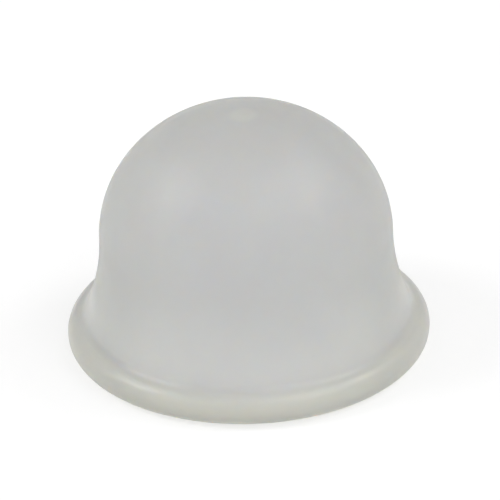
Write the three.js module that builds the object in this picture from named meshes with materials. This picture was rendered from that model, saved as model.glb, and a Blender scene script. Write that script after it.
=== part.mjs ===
// Primer bulb of a small engine's carburettor: one soft, milky moulding.
// A thumb pushes the dome in, and the springy wall draws fuel as it comes back.
// It is a solid of revolution about Z, open underneath, and it stands on its rim.
// Lengths are in millimetres. The origin is the centre of the face it rests on.

import * as THREE from "three";

// Driving dimensions of the outside
const domeDiameter = 17.9; // across the waist, where the wall stands upright
const domeRise = 8.1; // from the waist to the top of the crown
const waistHeight = 7.4; // from the seat to the waist
const rimReach = 2.15; // how far the rim stands out beyond the waist
const rimThickness = 2.0; // its outer edge is a full round of this thickness
const creaseFillet = 0.8; // blends the flare into the top of the rim

// Driving dimensions of the inside
const wallThickness = 1.0; // at the waist
const crownThickness = 1.15; // on the axis
const mouthFlare = 0.95; // how far the cavity opens out between waist and mouth
const mouthRound = 0.3; // rounds the cavity's lower edge

// Driving dimensions of the dimple that the mould's gate leaves on the crown
const gateDiameter = 2.2;
const gateDepth = 0.1;

// Facets round the axis, and along each stretch of the section
const turnSteps = 72;
const gateSteps = 4;
const domeSteps = 13;
const flareSteps = 5;
const filletSteps = 5;
const rimTopSteps = 4;
const rimUndersideSteps = 4;
const mouthSteps = 3;
const cavityWallSteps = 4;
const cavityDomeSteps = 10;

// Milky silicone, as it looks against white
const bulbColour = 0xc2c2bf;
const bulbRoughness = 0.45;

// Sizes that follow from the driving dimensions
const waistRadius = domeDiameter / 2;
const cavityRadius = waistRadius - wallThickness;
const cavityRise = domeRise - crownThickness;
const gateRadius = gateDiameter / 2;
const rimRound = rimThickness / 2;
const rimCentre = new THREE.Vector2(waistRadius + rimReach - rimRound, rimRound);
const waistCentre = new THREE.Vector2(0, waistHeight);

// Directions in the section, which lies in the half plane of radius and height
const outwards = 0;
const upwards = Math.PI / 2;
const inwards = Math.PI;
const downwards = 1.5 * Math.PI;
const fullTurn = 2 * Math.PI;

const coincident = 1e-6;

// Points at equal steps of angle on an ellipse, with both ends.
function ellipseArc(centre, halfWidth, halfHeight, from, to, steps) {
  return Array.from({ length: steps + 1 }, (_, step) => {
    const angle = THREE.MathUtils.lerp(from, to, step / steps);
    return new THREE.Vector2(
      centre.x + halfWidth * Math.cos(angle),
      centre.y + halfHeight * Math.sin(angle),
    );
  });
}

function arc(centre, radius, from, to, steps) {
  return ellipseArc(centre, radius, radius, from, to, steps);
}

// Direction from one point to another, from 0 up to a full turn.
function direction(from, to) {
  return to.clone().sub(from).angle();
}

// The circle that leaves the waist upright at `start` from the axis, and has bent
// outwards by `spread` when it is `drop` lower.
function flareCircle(start, spread, drop) {
  const radius = (spread ** 2 + drop ** 2) / (2 * spread);
  const centre = new THREE.Vector2(start + radius, waistHeight);
  return { centre, radius };
}

// The crossing of two circles that lies on the left of the way from a to b.
function crossing(a, radiusA, b, radiusB) {
  const way = b.clone().sub(a);
  const gap = way.length();
  const along = (radiusA ** 2 - radiusB ** 2 + gap ** 2) / (2 * gap);
  const aside = Math.sqrt(Math.max(radiusA ** 2 - along ** 2, 0));
  way.divideScalar(gap);
  const left = new THREE.Vector2(-way.y, way.x);
  return a.clone().addScaledVector(way, along).addScaledVector(left, aside);
}

// The dome is half an ellipsoid that stands on the waist. Angles on it count from the
// waist up, and the gate's dimple takes up the last of them, next to the axis.
const gateEdgeAngle = Math.acos(gateRadius / waistRadius);

// The dimple is deepest on the axis and fades into the dome with no edge.
function gateDimple() {
  const dome = ellipseArc(
    waistCentre,
    waistRadius,
    domeRise,
    upwards,
    gateEdgeAngle,
    gateSteps,
  );
  return dome.map((point) => {
    const depth = (gateDepth * (1 + Math.cos((Math.PI * point.x) / gateRadius))) / 2;
    return new THREE.Vector2(point.x, point.y - depth);
  });
}

function outerDome() {
  return ellipseArc(
    waistCentre,
    waistRadius,
    domeRise,
    gateEdgeAngle,
    outwards,
    domeSteps,
  );
}

// Below the waist the wall bends outwards, turns in a fillet and runs on to the rim,
// which curls round to the seat.
function flareAndRim() {
  const spread = rimCentre.x - waistRadius;
  const flare = flareCircle(waistRadius, spread, waistHeight - rimThickness);
  const fillet = crossing(
    rimCentre,
    rimRound + creaseFillet,
    flare.centre,
    flare.radius - creaseFillet,
  );
  const flareEnd = direction(flare.centre, fillet);
  const filletEnd = direction(fillet, rimCentre);
  const rimStart = direction(rimCentre, fillet);
  const below = downwards - fullTurn;
  return [
    ...arc(flare.centre, flare.radius, inwards, flareEnd, flareSteps),
    ...arc(fillet, creaseFillet, flareEnd, filletEnd, filletSteps),
    ...arc(rimCentre, rimRound, rimStart, outwards, rimTopSteps),
    ...arc(rimCentre, rimRound, outwards, below, rimUndersideSteps),
  ];
}

// The cavity's lower edge is rounded, its wall narrows upwards to the waist, and its
// roof is half an ellipsoid.
function cavity() {
  const wall = flareCircle(cavityRadius, mouthFlare, waistHeight);
  const reach = wall.radius - mouthRound;
  const drop = waistHeight - mouthRound;
  const edgeX = wall.centre.x - Math.sqrt(reach ** 2 - drop ** 2);
  const edge = new THREE.Vector2(edgeX, mouthRound);
  const wallStart = direction(wall.centre, edge);
  return [
    ...arc(edge, mouthRound, downwards, wallStart, mouthSteps),
    ...arc(wall.centre, wall.radius, wallStart, inwards, cavityWallSteps),
    ...ellipseArc(
      waistCentre,
      cavityRadius,
      cavityRise,
      outwards,
      upwards,
      cavityDomeSteps,
    ),
  ];
}

// The closed section: from the axis at the crown out, down to the seat, and up
// inside to the axis again. Where two stretches meet, their common point is kept once.
function section() {
  const points = [
    ...gateDimple(),
    ...outerDome(),
    ...flareAndRim(),
    ...cavity(),
  ];
  return points.filter(
    (point, i) => i === 0 || point.distanceTo(points[i - 1]) > coincident,
  );
}

function primerBulb() {
  const geometry = new THREE.LatheGeometry(section().reverse(), turnSteps);
  geometry.rotateX(upwards); // the lathe turns about Y, and the bulb stands along Z
  const material = new THREE.MeshStandardMaterial({
    color: bulbColour,
    roughness: bulbRoughness,
    metalness: 0,
  });
  const mesh = new THREE.Mesh(geometry, material);
  mesh.name = "primer_bulb";
  return mesh;
}

const part = new THREE.Group();
part.add(primerBulb());

export default part;
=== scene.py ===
import math

import bpy
import numpy as np
from mathutils import Matrix, Vector


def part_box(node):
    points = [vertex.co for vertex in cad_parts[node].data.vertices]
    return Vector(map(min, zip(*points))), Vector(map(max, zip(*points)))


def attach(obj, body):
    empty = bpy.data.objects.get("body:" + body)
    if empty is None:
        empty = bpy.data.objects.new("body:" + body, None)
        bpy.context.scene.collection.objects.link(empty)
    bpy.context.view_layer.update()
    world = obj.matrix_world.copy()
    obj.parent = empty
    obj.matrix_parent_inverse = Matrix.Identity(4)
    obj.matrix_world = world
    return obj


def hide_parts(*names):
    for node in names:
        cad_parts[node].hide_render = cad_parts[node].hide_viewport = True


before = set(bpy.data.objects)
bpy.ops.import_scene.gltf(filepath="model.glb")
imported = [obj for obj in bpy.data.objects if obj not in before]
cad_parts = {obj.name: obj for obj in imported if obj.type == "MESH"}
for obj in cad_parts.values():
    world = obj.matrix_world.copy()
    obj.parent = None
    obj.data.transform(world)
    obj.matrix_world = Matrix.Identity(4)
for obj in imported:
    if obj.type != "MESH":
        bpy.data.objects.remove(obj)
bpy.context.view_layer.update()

# A milky silicone primer bulb on a white floor. Lengths are in metres.
MM = 0.001

# The bulb's section. The rim's radius comes from the frame.
RIM_RADIUS = max(corner.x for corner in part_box("primer_bulb"))
RIM_REACH = 2.15 * MM
RIM_THICKNESS = 2.0 * MM
WAIST_HEIGHT = 7.4 * MM
DOME_RISE = 8.1 * MM
CREASE_FILLET = 0.8 * MM
WALL_THICKNESS = 1.0 * MM
CROWN_THICKNESS = 1.15 * MM
MOUTH_FLARE = 0.95 * MM
MOUTH_ROUND = 0.3 * MM
GATE_RADIUS = 1.1 * MM
GATE_DEPTH = 0.1 * MM

# Sizes that follow from them
WAIST_RADIUS = RIM_RADIUS - RIM_REACH
CAVITY_RADIUS = WAIST_RADIUS - WALL_THICKNESS
CAVITY_RISE = DOME_RISE - CROWN_THICKNESS
RIM_ROUND = RIM_THICKNESS / 2
RIM_CENTRE = Vector((RIM_RADIUS - RIM_ROUND, RIM_ROUND))
WAIST_CENTRE = Vector((0, WAIST_HEIGHT))
CROWN_TOP = Vector((0, 0, WAIST_HEIGHT + DOME_RISE))

# Facets round the axis, and along each stretch of the section
TURN_STEPS = 288
GATE_STEPS = 16
DOME_STEPS = 56
FLARE_STEPS = 20
FILLET_STEPS = 12
RIM_TOP_STEPS = 12
RIM_UNDERSIDE_STEPS = 12
MOUTH_STEPS = 6
CAVITY_WALL_STEPS = 20
CAVITY_DOME_STEPS = 40
COINCIDENT = 1e-8

# Directions in the section, from outwards through upwards
OUTWARDS = 0
UPWARDS = 0.5 * math.pi
INWARDS = math.pi
DOWNWARDS = 1.5 * math.pi
FULL_TURN = 2 * math.pi

# The camera, fitted to the photograph's outline
ELEVATION = math.radians(28.5)
ROLL = math.radians(1.72)
DISTANCE = 334 * MM
FRAME_WIDTH = 30.4 * MM  # what the picture spans at the point it is aimed at
AIM_HEIGHT = 7.75 * MM
AIM_RIGHT = 0.25 * MM
AIM_DOWN = 1.35 * MM
SENSOR_WIDTH = 36.0  # in millimetres

# The silicone's tones. Its thick rim is darker and yellower than its walls; the crown's
# top is darker too, as painted shade over a little real thickness.
THIN_TONE = (0.82, 0.82, 0.89, 1)
THICK_TONE = (0.725, 0.725, 0.765, 1)
# The rim's lowest edge is lighter: painted light from the floor.
SEAT_PAINTED_LIGHT = (0.98, 0.99, 1.0, 1)
# The gate's dimple is lighter: a painted highlight.
GATE_PAINTED_HIGHLIGHT = (0.87, 0.87, 0.89, 1)
# The crown's darker top is painted shade, over a little real thickness.
CROWN_SHADE_SHARE = 0.4  # how much of the thick tone the crown's top has

# Heights over which the tones and the gloss change
# The painted light from the floor on the rim's lowest edge fades over these heights.
SEAT_LIGHT_FADES = (0.25 * MM, 0.6 * MM)
RIM_THINS = (1.4 * MM, 2.5 * MM)
GLOSS_FADES = (3.2 * MM, 4.6 * MM)
# The crown's painted shade deepens over these heights.
CROWN_SHADE_HEIGHTS = (12.5 * MM, 15.4 * MM)

# Distances from the crown's top over which the painted highlight on the gate's dimple
# fades
GATE_HIGHLIGHT_FADES = (0.5 * MM, 1.15 * MM)

# The silicone's skin
ROUGHNESS = (0.42, 0.50)
RIM_GLOSS = 0.6
GLOSS_ROUGHNESS = 0.28
SILICONE_IOR = 1.41
GRAIN_STRENGTH = 0.15
GRAIN_HEIGHT = 0.01 * MM

# What light does inside the silicone
SEE_THROUGH = 0.5
SCATTER = (1.2, 1.0, 0.8)
SCATTER_SCALE = 2.0 * MM
SOAK_COLOUR = (0.96, 0.96, 0.6, 1)
SOAK_DENSITY = 400.0

# Noises, each with its scale and detail
CLOUD = (260.0, 3.0)
HAZE = (700.0, 4.0)
GRAIN = (9000.0, 2.0)
NOISE_SPAN = (0.3, 0.7)  # most of a noise's values lie in it
MOTTLE = 0.03  # how much darker the clouds make the tone

# The floor's white paper
FLOOR_HALF = 1.0
PAPER_TONE = 0.82  # for the light that it gives back
PAPER_SHADE = 0.42  # as it is seen, what takes the bulb's shadow
PAPER_GLOW = 0.63  # as it is seen, what shines by itself

# The light of the surroundings
FILL_LOW = 0.92
FILL_TOP = 0.26
FILL_FALLS = (math.sin(math.radians(23)), 1.0)  # sines of the elevation
FILL_BEHIND = 0.72  # against 1 on the camera's side
FILL_TURNS = (-0.5, 0.7)  # from the camera's side to the far side
SOFTBOX_DISTANCE = 300 * MM


def ellipse_arc(centre, half_width, half_height, start, end, steps):
    """Points at equal steps of angle on an ellipse, with both ends."""
    return [
        Vector((centre.x + half_width * math.cos(a), centre.y + half_height * math.sin(a)))
        for a in np.linspace(start, end, steps + 1)
    ]


def arc(centre, radius, start, end, steps):
    return ellipse_arc(centre, radius, radius, start, end, steps)


def direction(start, end):
    """Direction from one point to another, from 0 up to a full turn."""
    return math.atan2(end.y - start.y, end.x - start.x) % FULL_TURN


def flare_circle(start, spread, drop):
    """The circle that leaves the waist upright and bends outwards by spread over drop."""
    radius = (spread**2 + drop**2) / (2 * spread)
    return Vector((start + radius, WAIST_HEIGHT)), radius


def crossing(a, radius_a, b, radius_b):
    """The crossing of two circles that lies on the left of the way from a to b."""
    way = b - a
    gap = way.length
    along = (radius_a**2 - radius_b**2 + gap**2) / (2 * gap)
    aside = math.sqrt(radius_a**2 - along**2)
    way.normalize()
    return a + way * along + Vector((-way.y, way.x)) * aside


def dome_arc(start, end, steps):
    return ellipse_arc(WAIST_CENTRE, WAIST_RADIUS, DOME_RISE, start, end, steps)


def gate_and_dome():
    """The half ellipsoid outside, from the axis to the waist, with the crown's dimple."""
    edge = math.acos(GATE_RADIUS / WAIST_RADIUS)
    crown = dome_arc(UPWARDS, edge, GATE_STEPS)
    for point in crown:
        point.y -= GATE_DEPTH * (1 + math.cos(math.pi * point.x / GATE_RADIUS)) / 2
    return [*crown, *dome_arc(edge, OUTWARDS, DOME_STEPS)]


def flare_and_rim():
    """The wall below the waist, the fillet in the crease and the rim's round."""
    spread = RIM_CENTRE.x - WAIST_RADIUS
    flare, flare_radius = flare_circle(WAIST_RADIUS, spread, WAIST_HEIGHT - RIM_THICKNESS)
    reach = RIM_ROUND + CREASE_FILLET
    fillet = crossing(RIM_CENTRE, reach, flare, flare_radius - CREASE_FILLET)
    flare_end = direction(flare, fillet)
    fillet_end = direction(fillet, RIM_CENTRE)
    rim_start = direction(RIM_CENTRE, fillet)
    below = DOWNWARDS - FULL_TURN
    return [
        *arc(flare, flare_radius, INWARDS, flare_end, FLARE_STEPS),
        *arc(fillet, CREASE_FILLET, flare_end, fillet_end, FILLET_STEPS),
        *arc(RIM_CENTRE, RIM_ROUND, rim_start, OUTWARDS, RIM_TOP_STEPS),
        *arc(RIM_CENTRE, RIM_ROUND, OUTWARDS, below, RIM_UNDERSIDE_STEPS),
    ]


def cavity():
    """The mouth's rounded edge, the inner wall and the cavity's roof."""
    wall, radius = flare_circle(CAVITY_RADIUS, MOUTH_FLARE, WAIST_HEIGHT)
    drop = WAIST_HEIGHT - MOUTH_ROUND
    edge_x = wall.x - math.sqrt((radius - MOUTH_ROUND) ** 2 - drop**2)
    edge = Vector((edge_x, MOUTH_ROUND))
    wall_start = direction(wall, edge)
    roof_sizes = (CAVITY_RADIUS, CAVITY_RISE)
    return [
        *arc(edge, MOUTH_ROUND, DOWNWARDS, wall_start, MOUTH_STEPS),
        *arc(wall, radius, wall_start, INWARDS, CAVITY_WALL_STEPS),
        *ellipse_arc(WAIST_CENTRE, *roof_sizes, OUTWARDS, UPWARDS, CAVITY_DOME_STEPS),
    ]


def section():
    """The section's points in order, each once, from the crown's axis to the roof's."""
    kept = []
    for point in [*gate_and_dome(), *flare_and_rim(), *cavity()]:
        if not kept or (point - kept[-1]).length > COINCIDENT:
            kept.append(point)
    return kept


def add_object(name, data):
    """A new object in the scene."""
    item = bpy.data.objects.new(name, data)
    bpy.context.scene.collection.objects.link(item)
    return item


def revolve(name, points, steps):
    """A closed mesh turned about Z. The first and the last point lie on the axis."""
    rings = points[1:-1]
    angles = np.arange(steps) * (FULL_TURN / steps)
    verts = [(0, 0, points[0].y)]
    for p in rings:
        verts += [(p.x * math.cos(a), p.x * math.sin(a), p.y) for a in angles]
    verts.append((0, 0, points[-1].y))
    last = len(verts) - 1
    starts = [1 + ring * steps for ring in range(len(rings))]
    faces = []
    for i in range(steps):
        j = (i + 1) % steps
        faces.append((0, starts[0] + i, starts[0] + j))
        for this, following in zip(starts, starts[1:]):
            faces.append((this + i, following + i, following + j, this + j))
        faces.append((starts[-1] + i, last, starts[-1] + j))
    mesh = bpy.data.meshes.new(name)
    mesh.from_pydata(verts, [], faces)
    mesh.validate()
    mesh.shade_smooth()
    return add_object(name, mesh)


class Nodes:
    """A small helper that adds nodes to a tree and links them."""

    def __init__(self, tree):
        self.tree = tree

    def add(self, kind, settings=None, **inputs):
        """A new node. In an input's name an underscore stands for a space."""
        node = self.tree.nodes.new(kind)
        for name, value in (settings or {}).items():
            setattr(node, name, value)
        for name, value in inputs.items():
            self.feed(node.inputs[name.replace("_", " ")], value)
        return node

    def feed(self, socket, value):
        """Link an output to a socket, or set the socket to a plain value."""
        if isinstance(value, bpy.types.NodeSocket):
            self.tree.links.new(value, socket)
        else:
            socket.default_value = value

    def feed_first_two(self, node, first, second):
        self.feed(node.inputs[0], first)
        self.feed(node.inputs[1], second)

    def math(self, operation, a, b):
        node = self.add("ShaderNodeMath", {"operation": operation})
        self.feed_first_two(node, a, b)
        return node.outputs["Value"]

    def distance(self, a, b):
        node = self.add("ShaderNodeVectorMath", {"operation": "DISTANCE"})
        self.feed_first_two(node, a, b)
        return node.outputs["Value"]

    def noise(self, place, scale, detail):
        node = self.add("ShaderNodeTexNoise", Vector=place, Scale=scale, Detail=detail)
        return node.outputs["Fac"]

    def ramp(self, value, span, low, high):
        """A value that goes smoothly from low to high as another crosses a span."""
        start, end = span
        node = self.add(
            "ShaderNodeMapRange",
            {"interpolation_type": "SMOOTHSTEP"},
            Value=value,
            From_Min=start,
            From_Max=end,
            To_Min=low,
            To_Max=high,
        )
        return node.outputs["Result"]

    def blend(self, kind, share, a, b):
        """Two colours blended, with the given share of the second."""
        node = self.add("ShaderNodeMix", {"data_type": "RGBA", "blend_type": kind})
        inputs = {socket.identifier: socket for socket in node.inputs}
        self.feed(inputs["Factor_Float"], share)
        self.feed(inputs["A_Color"], a)
        self.feed(inputs["B_Color"], b)
        outputs = {socket.identifier: socket for socket in node.outputs}
        return outputs["Result_Color"]

    def seen_directly(self):
        """1 for a ray from the camera, a reflection or the view through the bulb."""
        path = self.add("ShaderNodeLightPath").outputs
        rays = self.math("MAXIMUM", path["Is Camera Ray"], path["Is Transmission Ray"])
        return self.math("MAXIMUM", rays, path["Is Glossy Ray"])


def grey(level):
    return (level, level, level, 1)


def new_material(name):
    material = bpy.data.materials.new(name)
    material.use_nodes = True
    material.node_tree.nodes.clear()
    return material, Nodes(material.node_tree)


def silicone_tone(nodes, place, height):
    """The walls' tone, over it the thick rim's tone and the crown's painted shade, the
    painted light from the floor on the rim's lowest edge and the painted highlight on the
    gate's dimple, and faint clouds over all of them."""
    rim = nodes.ramp(height, RIM_THINS, 1.0, 0.0)
    # The crown's share is painted shade over a little real thickness.
    crown = nodes.ramp(height, CROWN_SHADE_HEIGHTS, 0.0, CROWN_SHADE_SHARE)
    thick = nodes.math("MAXIMUM", rim, crown)
    tone = nodes.blend("MIX", thick, THIN_TONE, THICK_TONE)
    # Painted light from the floor on the rim's lowest edge
    seat_light = nodes.ramp(height, SEAT_LIGHT_FADES, 1.0, 0.0)
    tone = nodes.blend("MIX", seat_light, tone, SEAT_PAINTED_LIGHT)
    # Painted highlight on the gate's dimple
    gate = nodes.ramp(nodes.distance(place, CROWN_TOP), GATE_HIGHLIGHT_FADES, 1.0, 0.0)
    tone = nodes.blend("MIX", gate, tone, GATE_PAINTED_HIGHLIGHT)
    mottle = nodes.ramp(nodes.noise(place, *CLOUD), NOISE_SPAN, 1 - MOTTLE, 1.0)
    return nodes.blend("MULTIPLY", 1.0, tone, mottle)


def bulb_material():
    """Milky silicone: it glows, shows faintly through, and yellows where it is thick. Its
    tone also holds painted shade on the crown, painted floor light on the rim's lowest
    edge and a painted highlight on the gate's dimple. Only its rim has a soft gloss."""
    material, nodes = new_material("milky_silicone")
    place = nodes.add("ShaderNodeTexCoord").outputs["Object"]
    height = nodes.add("ShaderNodeSeparateXYZ", Vector=place).outputs["Z"]
    bump = nodes.add(
        "ShaderNodeBump",
        Strength=GRAIN_STRENGTH,
        Distance=GRAIN_HEIGHT,
        Height=nodes.noise(place, *GRAIN),
    )
    skin = nodes.add(
        "ShaderNodeBsdfPrincipled",
        Base_Color=silicone_tone(nodes, place, height),
        Roughness=nodes.ramp(nodes.noise(place, *HAZE), NOISE_SPAN, *ROUGHNESS),
        IOR=SILICONE_IOR,
        Subsurface_Weight=1.0,
        Subsurface_Radius=SCATTER,
        Subsurface_Scale=SCATTER_SCALE,
        Transmission_Weight=SEE_THROUGH,
        Coat_Weight=nodes.ramp(height, GLOSS_FADES, RIM_GLOSS, 0.0),
        Coat_Roughness=GLOSS_ROUGHNESS,
        Coat_IOR=SILICONE_IOR,
        Normal=bump.outputs["Normal"],
    )
    soak = nodes.add("ShaderNodeVolumeAbsorption", Color=SOAK_COLOUR, Density=SOAK_DENSITY)
    nodes.add(
        "ShaderNodeOutputMaterial",
        Surface=skin.outputs["BSDF"],
        Volume=soak.outputs["Volume"],
    )
    return material


def floor_material():
    """White paper. Seen directly, mirrored or through the bulb it is the white background
    with the bulb's shadow on it. Otherwise it gives light back as plain paper does."""
    material, nodes = new_material("white_paper")
    plain = nodes.add("ShaderNodeBsdfDiffuse", Color=grey(PAPER_TONE))
    shade = nodes.add("ShaderNodeBsdfDiffuse", Color=grey(PAPER_SHADE))
    glow = nodes.add("ShaderNodeEmission", Color=grey(1.0), Strength=PAPER_GLOW)
    white = nodes.add("ShaderNodeAddShader")
    nodes.feed_first_two(white, shade.outputs["BSDF"], glow.outputs["Emission"])
    paper = nodes.add("ShaderNodeMixShader", Fac=nodes.seen_directly())
    nodes.feed(paper.inputs[1], plain.outputs["BSDF"])
    nodes.feed(paper.inputs[2], white.outputs["Shader"])
    nodes.add("ShaderNodeOutputMaterial", Surface=paper.outputs["Shader"])
    return material


def make_floor():
    half = FLOOR_HALF
    corners = [(-half, -half, 0), (half, -half, 0), (half, half, 0), (-half, half, 0)]
    mesh = bpy.data.meshes.new("floor")
    mesh.from_pydata(corners, [], [(0, 1, 2, 3)])
    mesh.materials.append(floor_material())
    floor = add_object("floor", mesh)


def make_world():
    """Plain studio surroundings, dim overhead and a little dimmer behind the bulb."""
    world = bpy.data.worlds.new("studio")
    world.use_nodes = True
    world.node_tree.nodes.clear()
    nodes = Nodes(world.node_tree)
    place = nodes.add("ShaderNodeTexCoord").outputs["Generated"]
    way = nodes.add("ShaderNodeSeparateXYZ", Vector=place).outputs
    by_height = nodes.ramp(way["Z"], FILL_FALLS, FILL_LOW, FILL_TOP)
    by_side = nodes.ramp(way["Y"], FILL_TURNS, 1.0, FILL_BEHIND)
    level = nodes.math("MULTIPLY", by_height, by_side)
    fill = nodes.add("ShaderNodeBackground", Color=grey(1.0), Strength=level)
    nodes.add("ShaderNodeOutputWorld", Surface=fill.outputs["Background"])
    bpy.context.scene.world = world


def softbox(name, azimuth, elevation, side, level):
    """A square lamp that looks at the bulb. Azimuth 0 is the camera's side, + its right.
    Level is what it adds to a white surface that faces it."""
    data = bpy.data.lights.new(name, "AREA")
    data.shape = "SQUARE"
    data.size = side
    data.energy = level * math.pi**2 * SOFTBOX_DISTANCE**2
    lamp = add_object(name, data)
    a = math.radians(azimuth)
    e = math.radians(elevation)
    away = Vector((math.sin(a) * math.cos(e), -math.cos(a) * math.cos(e), math.sin(e)))
    lamp.location = Vector((0, 0, AIM_HEIGHT)) + away * SOFTBOX_DISTANCE
    lamp.rotation_mode = "QUATERNION"
    lamp.rotation_quaternion = away.to_track_quat("Z", "Y")


def make_lights():
    softbox("left_softbox", azimuth=-86, elevation=46, side=110 * MM, level=0.29)
    softbox("right_softbox", azimuth=98, elevation=50, side=110 * MM, level=0.19)
    softbox("front_softbox", azimuth=45, elevation=54, side=180 * MM, level=0.19)


def make_camera():
    """The photograph's view. The camera is rolled a little clockwise, so a level line
    across the view rises to the right in the picture."""
    forward = Vector((0, math.cos(ELEVATION), -math.sin(ELEVATION)))
    across = Vector((1, 0, 0))
    above = Vector((0, math.sin(ELEVATION), math.cos(ELEVATION)))
    right = across * math.cos(ROLL) - above * math.sin(ROLL)
    up = across * math.sin(ROLL) + above * math.cos(ROLL)
    data = bpy.data.cameras.new("camera")
    data.sensor_width = SENSOR_WIDTH
    data.lens = SENSOR_WIDTH * DISTANCE / FRAME_WIDTH
    camera = add_object("camera", data)
    aim = Vector((0, 0, AIM_HEIGHT)) + right * AIM_RIGHT - up * AIM_DOWN
    place = aim - forward * DISTANCE
    turn = Matrix((right, up, -forward)).transposed().to_4x4()
    camera.matrix_world = Matrix.Translation(place) @ turn
    bpy.context.scene.camera = camera


bulb = revolve("bulb_moulding", section(), TURN_STEPS)
bulb.data.materials.append(bulb_material())
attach(bulb, "root")
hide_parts("primer_bulb")

make_floor()
make_world()
make_lights()
make_camera()
bpy.context.scene.view_settings.view_transform = "Standard"
